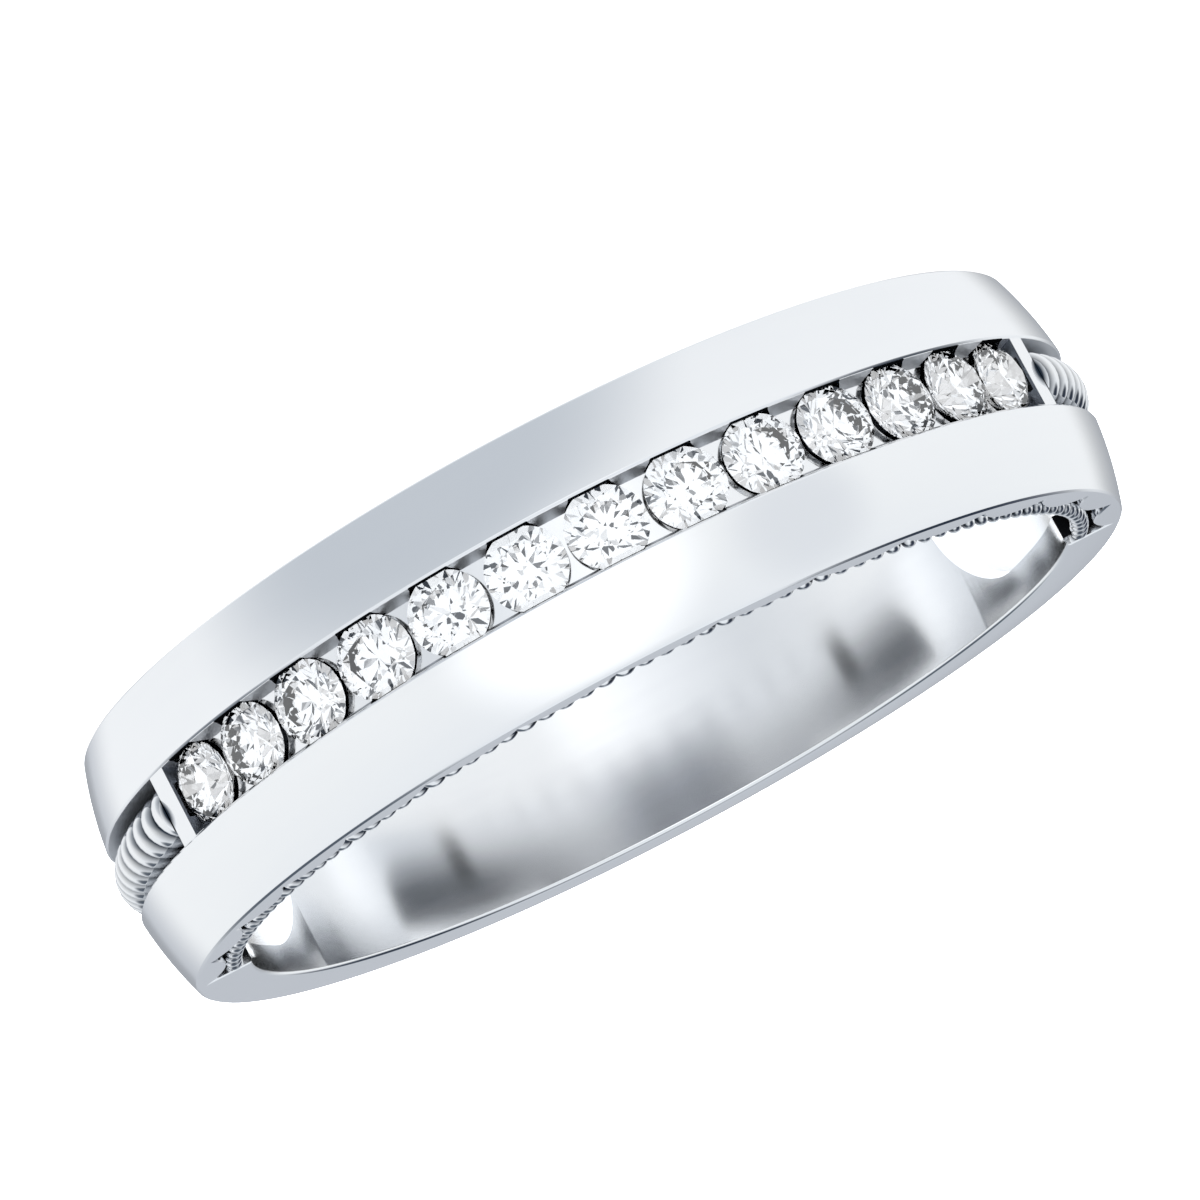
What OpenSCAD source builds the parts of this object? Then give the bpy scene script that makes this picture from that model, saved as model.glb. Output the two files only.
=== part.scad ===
// Band ring lying on its side: two domed rails with a channel between them.
// Thirteen round brilliants fill the channel over the head, and a wound wire fills it round the back.
// Millimetres. The ring's axis is Z, it rests on its side face at Z = 0, and the head points to -Y.

/* [Finger size] */
// Inside diameter of the ring
finger_d = 19.8; // [18:0.1:22]
// Width of the band, from side face to side face
band_w = 5.4; // [5:0.1:6.5]

/* [Rails] */
// Thickness of the band at its side faces
rim_t = 1.32; // [1.2:0.01:1.6]
// How much higher the rails stand at the channel than at the side faces
crown_h = 0.41; // [0.2:0.01:0.6]
// Bevel on the outer edge of each side face
outer_bevel = 0.1; // [0.05:0.01:0.2]
// Rounding of the inner edges, where the finger goes in
inner_fillet = 0.17; // [0.1:0.01:0.25]

/* [Channel] */
// Width of the channel, at the rails' edges
channel_w = 1.62; // [1.5:0.01:1.7]
// How far each wall of the channel leans in over the head, from the bars' tops down to the floor
wall_lean = 0.14; // [0.02:0.01:0.2]
// Depth of the floor between the stones, below the rail's edge
plate_depth = 0.46; // [0.4:0.01:0.6]
// Depth of the channel under the wound wire, below the rail's edge
coil_bed_depth = 1.21; // [1.15:0.01:1.25]
// Thickness of the channel's side walls under the head
channel_wall = 0.35; // [0.25:0.05:0.5]
// Half angle at which each end bar starts, from the middle of the head
bar_start = 59.3; // [59:0.1:60]
// Angle that each end bar takes up
bar_arc = 3.1; // [2.5:0.1:4]
// How far the bars' tops lie below the rails' edges
bar_drop = 0.05; // [0.02:0.01:0.2]

/* [Stones] */
// Girdle diameter of a stone
stone_d = 1.75; // [1.7:0.01:1.76]
// Number of stones
stone_count = 13; // [3:2:13]
// Angle from one stone to the next
stone_step = 9.2; // [9.2:0.05:9.4]
// Height of the girdle below the rail's edge
girdle_drop = 0.3; // [0.25:0.01:0.35]
// Radial play around the girdle in its seat
seat_play = 0.035; // [0.02:0.005:0.05]
// How far the top of a seat lies below the rails' edges
seat_cover = 0.15; // [0.14:0.01:0.16]
// Radius by which the pit under a stone is smaller than the stone
ledge = 0.015; // [0.01:0.005:0.1]
// Radius of the pit's flat bottom
pit_tip_r = 0.3; // [0.2:0.01:0.4]
// Metal left between a pit and the underside of the head
pit_floor_t = 0.15; // [0.1:0.01:0.18]

/* [Gallery] */
// Half angle of the galleries and of the hollow head
gallery_half = 90; // [84:6:90]
// Angle of one scallop
scallop_step = 12; // [10:2:12]
// Radius of the scallops' tips
scallop_tip_r = 10.53; // [10.52:0.01:10.6]
// Radius of the points between the scallops
scallop_cusp_r = 11.0; // [10.9:0.01:11.05]
// Thickness of the pierced side plates
plate_t = 0.2; // [0.15:0.01:0.3]
// Outer radius of the hollow beside the channel
hollow_r = 10.8; // [10.7:0.01:10.9]

/* [Shoulder pockets] */
// Width of the pockets cut from inside
pocket_w = 3.92; // [3:0.01:4]
// Depth of the pockets
pocket_depth = 0.22; // [0.1:0.01:0.24]
// Angle of the centre of each pocket's round end
pocket_end = 112.7; // [105:0.1:120]

/* [Wires] */
// Outer diameter of the wound wire in the channel
coil_d = 1.3; // [1.2:0.01:1.34]
// Centre radius of the wound wire
coil_r = 11.12; // [11.1:0.01:11.14]
// Turns of the wound wire
coil_turns = 72; // [60:1:76]
// Depth of the grooves between its turns
coil_groove = 0.16; // [0.05:0.01:0.2]
// Outer diameter of a gallery rope
rope_d = 0.48; // [0.4:0.01:0.48]
// Centre radius of a gallery rope
rope_r = 10.27; // [10.25:0.01:10.27]
// Turns of a gallery rope
rope_turns = 70; // [50:1:72]
// Depth of the grooves between its turns
rope_groove = 0.09; // [0.03:0.01:0.12]

/* [Hidden] */
$fn = 96;
finger_r = finger_d / 2;
rim_r = finger_r + rim_t;
edge_r = rim_r + crown_h;
mid_z = band_w / 2;
half_channel = channel_w / 2;
beyond = 2;

// The dome is one circle through the side faces' rims and the channel's edges.
dome_drop = ((mid_z * mid_z - half_channel * half_channel) / crown_h + crown_h) / 2;
dome_r = sqrt(dome_drop * dome_drop + half_channel * half_channel);
dome_c = edge_r - dome_drop;

plate_r = edge_r - plate_depth;
coil_bed_r = edge_r - coil_bed_depth;
bar_end = bar_start + bar_arc;
bar_top_r = edge_r - bar_drop;
girdle_r = edge_r - girdle_drop;
stone_r = stone_d / 2;
seat_r = stone_r + seat_play;
seat_top_r = edge_r - seat_cover;
pit_r = stone_r - ledge;

rib_r = 10.35;
pit_floor_r = rib_r + pit_floor_t;
rib_w = channel_w + 2 * channel_wall;
rib_step_half = bar_start - 1.3;
pocket_r = finger_r + pocket_depth;

// A scallop is an arc through its tip and the two points beside it.
cusp_x = scallop_cusp_r * sin(scallop_step / 2);
cusp_rise = scallop_cusp_r * cos(scallop_step / 2) - scallop_tip_r;
scallop_r = (cusp_x * cusp_x + cusp_rise * cusp_rise) / (2 * cusp_rise);
scallop_count = round(2 * gallery_half / scallop_step);

wire_play = 0.03;
rope_sink = 0.02;
coil_angle = bar_end + wire_play * 180 / (PI * coil_r);
rope_angle = gallery_half - wire_play * 180 / (PI * rope_r);
coil_sides = 10;
rope_sides = 6;
coil_rings_per_turn = 4;
rope_rings_per_turn = 3;

// Proportions of a round brilliant, as shares of the girdle radius
table_share = 0.57;
star_share = 0.76;
crown_share = 0.30;
girdle_share = 0.04;
pavilion_share = 0.86;
lower_share = 0.24;

function stone_name(i) = str("stone_", i < 10 ? "0" : "", i);

// Turns what is built at -Y to the angle a round the head, positive towards -X.
module at_angle(a) {
    rotate([0, 0, -a]) children();
}

// An arc of a ring whose section is a rectangle, from angle a0 to a1 round the head.
module ring_arc(r0, r1, z0, z1, a0, a1) {
    rotate([0, 0, -90 - a1])
        rotate_extrude(angle = a1 - a0)
            translate([r0, z0])
                square([r1 - r0, z1 - z0]);
}

// A cone along the radius at the angle a, low wide at radius r0 and high wide at r1.
module radial_cone(a, low, high, r0, r1) {
    at_angle(a)
        translate([0, -r0, mid_z])
            rotate([90, 0, 0])
                cylinder(r1 = low, r2 = high, h = r1 - r0);
}

module radial_cylinder(a, r, r0, r1) {
    radial_cone(a, r, r, r0, r1);
}

function stone_angle(i) = (i - (stone_count + 1) / 2) * stone_step;

// Half of the band's section, from the side face at 0 up
module inner_corner() {
    translate([finger_r, 0])
        difference() {
            translate([-1, -1])
                square(inner_fillet + 1);
            translate([inner_fillet, inner_fillet])
                circle(r = inner_fillet);
        }
}

module outer_corner() {
    translate([rim_r, 0])
        polygon([
            [-outer_bevel, 0],
            [-outer_bevel, -1],
            [1, -1],
            [1, outer_bevel],
            [0, outer_bevel]
        ]);
}

module band_section() {
    difference() {
        intersection() {
            translate([dome_c, mid_z])
                circle(r = dome_r);
            translate([finger_r, 0])
                square([rim_t + crown_h + beyond, band_w]);
        }
        inner_corner();
        outer_corner();
        translate([0, band_w])
            mirror([0, 1])
                inner_corner();
        translate([0, band_w])
            mirror([0, 1])
                outer_corner();
    }
}

// Over the head the channel's walls lean in towards its floor, from a fine step at the slot above.
module head_channel() {
    step = 0.01;
    above = 0.02;
    half_floor = half_channel - wall_lean;
    half_top = half_channel - step;
    half_above = half_top + above * (half_top - half_floor) / (bar_top_r - plate_r);
    rotate([0, 0, -90 - bar_start])
        rotate_extrude(angle = 2 * bar_start)
            translate([0, mid_z])
                polygon([
                    [plate_r, -half_floor],
                    [bar_top_r + above, -half_above],
                    [bar_top_r + above, half_above],
                    [plate_r, half_floor]
                ]);
}

// A shallow slot runs all round. It is deeper over the head and round the back, and the metal left
// between these two is the end bars.
module channel_cuts() {
    z0 = mid_z - half_channel;
    z1 = mid_z + half_channel;
    top = edge_r + beyond;
    ring_arc(bar_top_r, top, z0, z1, 0, 360);
    ring_arc(coil_bed_r, top, z0, z1, bar_end, 360 - bar_end);
    head_channel();
}

// Each stone sits in a round seat that bites into both walls, over a pit that narrows as the stone does.
module seat(a) {
    above = 0.05;
    flare = (pit_r - pit_tip_r) / (plate_r - pit_floor_r);
    radial_cylinder(a, seat_r, plate_r, seat_top_r);
    radial_cone(a, pit_tip_r, pit_r + above * flare, pit_floor_r, plate_r + above);
}

// The head is hollow on both sides of the channel, and lower under its middle than at its ends.
module head_hollow() {
    rib_z0 = mid_z - rib_w / 2;
    rib_z1 = mid_z + rib_w / 2;
    inside = finger_r - beyond;
    ring_arc(inside, hollow_r, plate_t, rib_z0, -gallery_half, gallery_half);
    ring_arc(inside, hollow_r, rib_z1, band_w - plate_t, -gallery_half, gallery_half);
    ring_arc(inside, rib_r, rib_z0, rib_z1, -rib_step_half, rib_step_half);
}

// A shallow relief runs inside from shoulder to shoulder and ends in a round pocket in each.
module shoulder_pockets() {
    inside = finger_r - beyond;
    intersection() {
        cylinder(r = pocket_r, h = band_w);
        union() {
            ring_arc(inside, edge_r, mid_z - pocket_w / 2, mid_z + pocket_w / 2, -pocket_end, pocket_end);
            for (s = [-1, 1])
                radial_cylinder(s * pocket_end, pocket_w / 2, inside, edge_r);
        }
    }
}

// The opening of a gallery: the inner edge of the side plate, scalloped
module gallery_outline() {
    reach = scallop_cusp_r + 0.05;
    difference() {
        intersection() {
            circle(r = reach);
            translate([-reach, -reach])
                square([2 * reach, reach]);
        }
        for (k = [0:scallop_count - 1])
            rotate(((scallop_count - 1) / 2 - k) * scallop_step)
                translate([0, -(scallop_tip_r + scallop_r)])
                    circle(r = scallop_r);
    }
}

module galleries() {
    for (z = [-1, band_w - plate_t - 0.1])
        translate([0, 0, z])
            linear_extrude(plate_t + 1.1)
                gallery_outline();
}

module band() {
    color("gainsboro")
        difference() {
            rotate_extrude()
                band_section();
            channel_cuts();
            for (i = [1:stone_count])
                seat(stone_angle(i));
            head_hollow();
            shoulder_pockets();
            galleries();
        }
}

// A wire wound along an arc, as a tube whose radius falls by groove between the turns.
module wound_wire(path_r, path_z, tube_r, groove, a0, a1, turns, rings_per_turn, sides) {
    rings = turns * rings_per_turn;
    function tube_at(k, j) = tube_r - groove * (0.5 - 0.5 * cos(360 * (k / rings_per_turn - j / sides)));
    function on_ring(a, r, f) = [
        -(path_r + r * cos(f)) * sin(a),
        -(path_r + r * cos(f)) * cos(a),
        path_z + r * sin(f)
    ];
    points = [
        for (k = [0:rings])
            for (j = [0:sides - 1])
                on_ring(a0 + (a1 - a0) * k / rings, tube_at(k, j), 360 * j / sides)
    ];
    walls = [
        for (k = [0:rings - 1])
            for (j = [0:sides - 1])
                for (half = [0, 1])
                    half == 0
                        ? [k * sides + j, k * sides + (j + 1) % sides, (k + 1) * sides + j]
                        : [k * sides + (j + 1) % sides, (k + 1) * sides + (j + 1) % sides, (k + 1) * sides + j]
    ];
    first_cap = [for (j = [sides - 1:-1:0]) j];
    last_cap = [for (j = [0:sides - 1]) rings * sides + j];
    polyhedron(points = points, faces = concat(walls, [first_cap, last_cap]));
}

module channel_coil() {
    color("silver")
        wound_wire(coil_r, mid_z, coil_d / 2, coil_groove, coil_angle, 360 - coil_angle,
            coil_turns, coil_rings_per_turn, coil_sides);
}

module gallery_rope(z) {
    color("silver")
        wound_wire(rope_r, z, rope_d / 2, rope_groove, -rope_angle, rope_angle,
            rope_turns, rope_rings_per_turn, rope_sides);
}

module gallery_rope_front() {
    gallery_rope(band_w - rope_d / 2 - rope_sink);
}

module gallery_rope_back() {
    gallery_rope(rope_d / 2 + rope_sink);
}

// A round brilliant with its girdle at Z = 0 and its table up: table, 8 stars, 8 kites,
// 16 upper and 16 lower girdle facets and 8 pavilion mains.
module brilliant(r) {
    half_girdle = girdle_share * r / 2;
    table_r = table_share * r;
    star_r = star_share * r;
    table_z = half_girdle + crown_share * r;
    culet_z = -half_girdle - pavilion_share * r;
    lower_r = lower_share * r;
    slope_up = (half_girdle - table_z) / (r - table_r);
    star_z = table_z + (star_r * cos(22.5) - table_r) * slope_up;
    lower_z = culet_z + lower_r * cos(22.5) * (-half_girdle - culet_z) / r;
    function ring(radius, z, offset, n) = [
        for (i = [0:n - 1])
            [radius * cos(360 * i / n + offset), radius * sin(360 * i / n + offset), z]
    ];
    table_0 = 0;
    star_0 = 8;
    top_0 = 16;
    low_0 = 32;
    lower_0 = 48;
    culet = 56;
    points = concat(
        ring(table_r, table_z, 0, 8),
        ring(star_r, star_z, 22.5, 8),
        ring(r, half_girdle, 0, 16),
        ring(r, -half_girdle, 0, 16),
        ring(lower_r, lower_z, 22.5, 8),
        [[0, 0, culet_z]]
    );
    function next8(i) = (i + 1) % 8;
    function next16(i) = (i + 1) % 16;
    faces = concat(
        [[for (i = [7:-1:0]) table_0 + i]],
        [for (i = [0:7]) [table_0 + i, table_0 + next8(i), star_0 + i]],
        [for (i = [0:7]) [table_0 + next8(i), top_0 + 2 * next8(i), star_0 + i]],
        [for (i = [0:7]) [table_0 + i, star_0 + i, top_0 + 2 * i]],
        [for (i = [0:7]) [star_0 + i, top_0 + 2 * i + 1, top_0 + 2 * i]],
        [for (i = [0:7]) [star_0 + i, top_0 + 2 * next8(i), top_0 + 2 * i + 1]],
        [for (i = [0:15]) [top_0 + i, top_0 + next16(i), low_0 + next16(i)]],
        [for (i = [0:15]) [top_0 + i, low_0 + next16(i), low_0 + i]],
        [for (i = [0:7]) [low_0 + 2 * i, low_0 + 2 * i + 1, lower_0 + i]],
        [for (i = [0:7]) [low_0 + 2 * i + 1, low_0 + 2 * next8(i), lower_0 + i]],
        [for (i = [0:7]) [low_0 + 2 * i, lower_0 + i, culet]],
        [for (i = [0:7]) [lower_0 + i, low_0 + 2 * next8(i), culet]]
    );
    polyhedron(points = points, faces = faces);
}

module stone(i) {
    color("aliceblue")
        at_angle(stone_angle(i))
            translate([0, -girdle_r, mid_z])
                rotate([90, 0, 0])
                    brilliant(stone_r);
}

band();
channel_coil();
gallery_rope_front();
gallery_rope_back();
for (i = [1:stone_count])
    stone(i);
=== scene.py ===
"""Looks of a band ring that lies on its side: a polished band with a channel of round brilliants
over the head, a wound wire inlay round the back, and fine ropes along its pierced galleries.

Pieces are modelled in millimetres and brought to metres at the end. The ring's axis is Z, its lower
side face lies on the floor at Z = 0, and the head points to -Y. An angle round the ring is measured
from the middle of the head, positive towards -X.
"""

import math

import bpy
from mathutils import Matrix, Vector


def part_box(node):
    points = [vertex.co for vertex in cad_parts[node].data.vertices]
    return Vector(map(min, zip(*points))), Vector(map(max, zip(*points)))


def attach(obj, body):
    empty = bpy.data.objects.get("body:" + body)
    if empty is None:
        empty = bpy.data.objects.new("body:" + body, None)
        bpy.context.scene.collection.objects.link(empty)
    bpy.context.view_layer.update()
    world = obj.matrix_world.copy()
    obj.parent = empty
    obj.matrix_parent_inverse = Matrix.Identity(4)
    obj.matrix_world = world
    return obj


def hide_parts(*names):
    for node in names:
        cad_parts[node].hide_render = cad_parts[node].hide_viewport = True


MILLIMETRE = 0.001

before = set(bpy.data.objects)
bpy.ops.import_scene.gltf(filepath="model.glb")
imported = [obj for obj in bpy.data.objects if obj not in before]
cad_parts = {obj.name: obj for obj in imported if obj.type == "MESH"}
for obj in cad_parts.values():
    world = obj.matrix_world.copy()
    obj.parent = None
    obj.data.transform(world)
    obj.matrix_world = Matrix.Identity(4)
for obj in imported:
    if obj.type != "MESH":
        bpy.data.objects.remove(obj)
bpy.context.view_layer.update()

# Sizes of the band, in millimetres
BAND_LOW, BAND_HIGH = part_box("band")
BAND_W = (BAND_HIGH.z - BAND_LOW.z) / MILLIMETRE
MID_Z = BAND_W / 2
FINGER_R = 9.9
RIM_R = 11.22
EDGE_R = 11.63
HALF_CHANNEL = 0.81
WALL_LEAN = 0.14
OUTER_BEVEL = 0.04
INNER_FILLET = 0.09
LIP_CHAMFER = 0.044
LIP_ROUND = 0.008
BEVEL_ROUND = 0.012
PLATE_R = 11.17
COIL_BED_R = 10.42
BAR_START = 59.3
BAR_END = 62.4
BAR_TOP_R = 11.58

# Stones and their seats
STONE_R = 0.875
STONE_COUNT = 13
STONE_STEP = 9.2
GIRDLE_R = 11.33
SEAT_R = 0.91
SEAT_TOP_R = 11.48
PIT_R = 0.86
PIT_TIP_R = 0.3
PIT_FLOOR_R = 10.5

# The shade on the walls above each seat: a skin inside a cone
SHADE_SKIN = 0.004
SHADE_HALF_ARC = 4
SHADE_LOW_R = 0.86
SHADE_HIGH_R = 0.95
SHADE_DEPTH = 0.5
SHADE_MID_R = 11.45

# Gallery, hollow head and shoulder pockets
GALLERY_HALF = 90
SCALLOP_STEP = 12
SCALLOP_COUNT = 15
SCALLOP_TIP_R = 10.53
SCALLOP_CUSP_R = 11.0
PLATE_T = 0.2
HOLLOW_R = 10.8
RIB_HALF = 1.16
RIB_R = 10.35
RIB_STEP_HALF = 58.0
DARK_GROOVE_START = 80.0
RELIEF_SHADE_TOP_Z = 2.6
POCKET_HALF = 1.96
POCKET_R = 10.12
POCKET_END = 112.7
GALLERY_CHAMFER = 0.03

# Wires
COIL_R = 11.12
COIL_TUBE_R = 0.65
COIL_TURNS = 72
COIL_GROOVE = 0.26
COIL_SIDES = 28
ROPE_R = 10.27
ROPE_TUBE_R = 0.21
ROPE_TURNS = 70
ROPE_GROOVE = 0.15
ROPE_SIDES = 20
WIRE_PLAY = 0.03
# How far out from its crown a turn stays round, as a share of its own radius
TURN_REACH = 0.97

# The photograph's camera, fitted to the ring's own edges
CAMERA_AZIMUTH = 5.858
CAMERA_ELEVATION = 10.906
CAMERA_ROLL = 152.0
CAMERA_DISTANCE = 156.34
CAMERA_SIDEWAYS = (1.1325, -1.389)
CAMERA_LENS = 216.16
CAMERA_SENSOR = 36.0


# Modelling helpers

def clear_selection():
    """Leaves edit mode and deselects everything."""
    if bpy.context.object and bpy.context.object.mode != "OBJECT":
        bpy.ops.object.mode_set(mode="OBJECT")
    bpy.ops.object.select_all(action="DESELECT")


def select_only(piece):
    """Makes piece the only selected object, and the active one."""
    clear_selection()
    piece.select_set(True)
    bpy.context.view_layer.objects.active = piece


def edit(piece):
    """Opens edit mode on piece alone, with all of it selected."""
    select_only(piece)
    bpy.ops.object.mode_set(mode="EDIT")
    bpy.ops.mesh.select_all(action="SELECT")


def close_edit():
    """Turns the faces outwards and leaves edit mode."""
    bpy.ops.mesh.select_all(action="SELECT")
    bpy.ops.mesh.normals_make_consistent(inside=False)
    bpy.ops.object.mode_set(mode="OBJECT")


def polyline(name, points):
    """A chain of edges drawn point by point, as an object in edit mode."""
    clear_selection()
    bpy.ops.mesh.primitive_plane_add(size=1, location=points[0])
    piece = bpy.context.object
    piece.name = name
    bpy.ops.object.mode_set(mode="EDIT")
    bpy.ops.mesh.select_all(action="SELECT")
    bpy.ops.mesh.merge(type="CENTER")
    for here, there in zip(points, points[1:]):
        step = Vector(there) - Vector(here)
        bpy.ops.mesh.extrude_vertices_move(TRANSFORM_OT_translate={"value": step})
    return piece


def settle_at_origin():
    """Leaves edit mode and moves the object's own place into its mesh."""
    bpy.ops.object.mode_set(mode="OBJECT")
    bpy.ops.object.transform_apply(location=True, rotation=False, scale=False)


def outline(name, points):
    """A flat face drawn point by point, as an object at the origin in edit mode."""
    piece = polyline(name, points)
    bpy.ops.mesh.select_all(action="SELECT")
    bpy.ops.mesh.edge_face_add()
    settle_at_origin()
    edit(piece)
    return piece


def at_angle(radius, height, angle):
    """The point at that radius and height, at that angle round the head."""
    a = math.radians(angle)
    return Vector((-radius * math.sin(a), -radius * math.cos(a), height))


def ring_arc(name, section, start, end, step=1.0):
    """A solid with that (radius, height) section, spun round the ring from start to end."""
    piece = outline(name, [at_angle(r, z, start) for r, z in section])
    whole = end - start >= 360
    if whole:
        bpy.ops.mesh.delete(type="ONLY_FACE")
        bpy.ops.mesh.select_all(action="SELECT")
    bpy.ops.mesh.spin(
        steps=max(1, round((end - start) / step)),
        angle=math.radians(end - start),
        center=(0, 0, 0),
        axis=(0, 0, 1),
    )
    if whole:
        bpy.ops.mesh.select_all(action="SELECT")
        bpy.ops.mesh.remove_doubles(threshold=0.0001)
    close_edit()
    return piece


def rectangle(r0, r1, z0, z1):
    return [(r0, z0), (r1, z0), (r1, z1), (r0, z1)]


def radial_cylinder(name, angle, radius, r0, r1, sides=96):
    """A cylinder along the ring's radius at that angle, from radius r0 to r1."""
    clear_selection()
    bpy.ops.mesh.primitive_cylinder_add(
        vertices=sides,
        radius=radius,
        depth=r1 - r0,
        location=at_angle((r0 + r1) / 2, MID_Z, angle),
        rotation=(math.pi / 2, 0, -math.radians(angle)),
    )
    piece = bpy.context.object
    piece.name = name
    bpy.ops.object.transform_apply(location=True, rotation=True, scale=True)
    return piece


def combine(piece, tool, operation="DIFFERENCE"):
    """Cuts piece with tool, or keeps what both hold, and removes tool."""
    select_only(piece)
    cut = piece.modifiers.new("cut", "BOOLEAN")
    cut.operation = operation
    cut.object = tool
    cut.solver = "EXACT"
    cut.material_mode = "TRANSFER"
    bpy.ops.object.modifier_apply(modifier=cut.name)
    bpy.data.objects.remove(tool)


def tidy_mesh(piece):
    """Merges the points that cuts leave within a thousandth of a millimetre of each other."""
    edit(piece)
    bpy.ops.mesh.remove_doubles(threshold=0.0005)
    bpy.ops.mesh.dissolve_degenerate(threshold=0.0005)
    close_edit()


def joined(pieces):
    """One object of several separate ones."""
    clear_selection()
    for piece in pieces:
        piece.select_set(True)
    bpy.context.view_layer.objects.active = pieces[0]
    bpy.ops.object.join()
    return pieces[0]


def painted(piece, material):
    """Gives a new piece or a cutter its material."""
    piece.data.materials.clear()
    piece.data.materials.append(material)
    return piece


def to_metres(piece):
    """Brings a piece modelled in millimetres to the frame's metres, with its object at the origin."""
    select_only(piece)
    piece.scale = (MILLIMETRE,) * 3
    bpy.ops.object.transform_apply(location=True, rotation=True, scale=True)


def smooth(piece, angle):
    """Smooth shading that keeps edges sharper than angle."""
    select_only(piece)
    bpy.ops.object.shade_smooth_by_angle(angle=math.radians(angle))


def weigh_normals(piece):
    """Lets the large faces set the shading, so that cuts leave no dents beside them."""
    select_only(piece)
    weighted = piece.modifiers.new("weighted", "WEIGHTED_NORMAL")
    weighted.keep_sharp = True
    weighted.weight = 50
    bpy.ops.object.modifier_apply(modifier=weighted.name)


def finish_piece(piece, body, slot, *nodes):
    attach(piece, body)
    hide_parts(*nodes)


# Materials

def new_material(name):
    """An empty material with a Principled shader and its output."""
    material = bpy.data.materials.new(name)
    material.use_nodes = True
    nodes = material.node_tree.nodes
    nodes.clear()
    output = nodes.new("ShaderNodeOutputMaterial")
    shader = nodes.new("ShaderNodeBsdfPrincipled")
    material.node_tree.links.new(shader.outputs["BSDF"], output.inputs["Surface"])
    return material, shader


def mixed(nodes, links, share, first, second):
    """A mix of two colours by that share; each is a colour's three numbers or a socket."""
    mix = nodes.new("ShaderNodeMix")
    mix.data_type = "RGBA"
    links.new(share, mix.inputs["Factor"])
    for name, colour in (("A", first), ("B", second)):
        if isinstance(colour, tuple):
            mix.inputs[name].default_value = (*colour, 1)
        else:
            links.new(colour, mix.inputs[name])
    return mix.outputs["Result"]


def polish_group():
    """Faint unevenness that hand polishing leaves: a mask and a height that vary over the metal."""
    group = bpy.data.node_groups.new("hand_polish", "ShaderNodeTree")
    group.interface.new_socket("Size", in_out="INPUT", socket_type="NodeSocketFloat")
    group.interface.new_socket("Wear", in_out="OUTPUT", socket_type="NodeSocketFloat")
    group.interface.new_socket("Height", in_out="OUTPUT", socket_type="NodeSocketFloat")
    nodes, links = group.nodes, group.links
    inputs = nodes.new("NodeGroupInput")
    outputs = nodes.new("NodeGroupOutput")
    place = nodes.new("ShaderNodeTexCoord")
    clouds = nodes.new("ShaderNodeTexNoise")
    clouds.inputs["Detail"].default_value = 3.0
    hairlines = nodes.new("ShaderNodeTexNoise")
    hairlines.inputs["Detail"].default_value = 2.0
    stretch = nodes.new("ShaderNodeMapping")
    stretch.inputs["Scale"].default_value = (1.0, 1.0, 9.0)
    links.new(place.outputs["Object"], clouds.inputs["Vector"])
    links.new(place.outputs["Object"], stretch.inputs["Vector"])
    links.new(stretch.outputs["Vector"], hairlines.inputs["Vector"])
    links.new(inputs.outputs["Size"], clouds.inputs["Scale"])
    links.new(inputs.outputs["Size"], hairlines.inputs["Scale"])
    both = nodes.new("ShaderNodeMath")
    both.operation = "MULTIPLY"
    links.new(clouds.outputs["Fac"], both.inputs[0])
    links.new(hairlines.outputs["Fac"], both.inputs[1])
    links.new(both.outputs["Value"], outputs.inputs["Wear"])
    links.new(hairlines.outputs["Fac"], outputs.inputs["Height"])
    return group


def metal(name, colour, worn_colour, gloss, worn_gloss, size, relief, polish):
    """A white gold whose colour and gloss vary a little with the polish; also its shader and tint."""
    material, shader = new_material(f"{name}_white_gold")
    nodes, links = material.node_tree.nodes, material.node_tree.links
    marks = nodes.new("ShaderNodeGroup")
    marks.node_tree = polish
    marks.inputs["Size"].default_value = size
    tint = mixed(nodes, links, marks.outputs["Wear"], colour, worn_colour)
    links.new(tint, shader.inputs["Base Color"])
    rough = nodes.new("ShaderNodeMapRange")
    rough.inputs["To Min"].default_value = gloss
    rough.inputs["To Max"].default_value = worn_gloss
    links.new(marks.outputs["Wear"], rough.inputs["Value"])
    links.new(rough.outputs["Result"], shader.inputs["Roughness"])
    bump = nodes.new("ShaderNodeBump")
    bump.inputs["Strength"].default_value = relief
    bump.inputs["Distance"].default_value = 0.002 * MILLIMETRE
    links.new(marks.outputs["Height"], bump.inputs["Height"])
    links.new(bump.outputs["Normal"], shader.inputs["Normal"])
    shader.inputs["Metallic"].default_value = 1.0
    return material, shader, tint


def math_node(nodes, links, operation, first, second=None):
    """The output of a maths node fed by two sockets, or by a socket and a number."""
    node = nodes.new("ShaderNodeMath")
    node.operation = operation
    links.new(first, node.inputs[0])
    if isinstance(second, float):
        node.inputs[1].default_value = second
    elif second is not None:
        links.new(second, node.inputs[1])
    return node.outputs["Value"]


def hypotenuse(nodes, links, one, other):
    """The long side of a right triangle with these two sides."""
    one_squared = math_node(nodes, links, "MULTIPLY", one, one)
    other_squared = math_node(nodes, links, "MULTIPLY", other, other)
    return math_node(nodes, links, "SQRT", math_node(nodes, links, "ADD", one_squared, other_squared))


def share_between(nodes, links, source, begin, end, least=0.0):
    """A share that grows from least to one between two places, given in millimetres."""
    share = nodes.new("ShaderNodeMapRange")
    share.inputs["From Min"].default_value = begin * MILLIMETRE
    share.inputs["From Max"].default_value = end * MILLIMETRE
    share.inputs["To Min"].default_value = least
    links.new(source, share.inputs["Value"])
    return share.outputs["Result"]


def place_on_piece(nodes, links):
    """The shaded place on the piece, as its X, Y and Z."""
    split = nodes.new("ShaderNodeSeparateXYZ")
    links.new(nodes.new("ShaderNodeTexCoord").outputs["Object"], split.inputs["Vector"])
    return split.outputs


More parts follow.
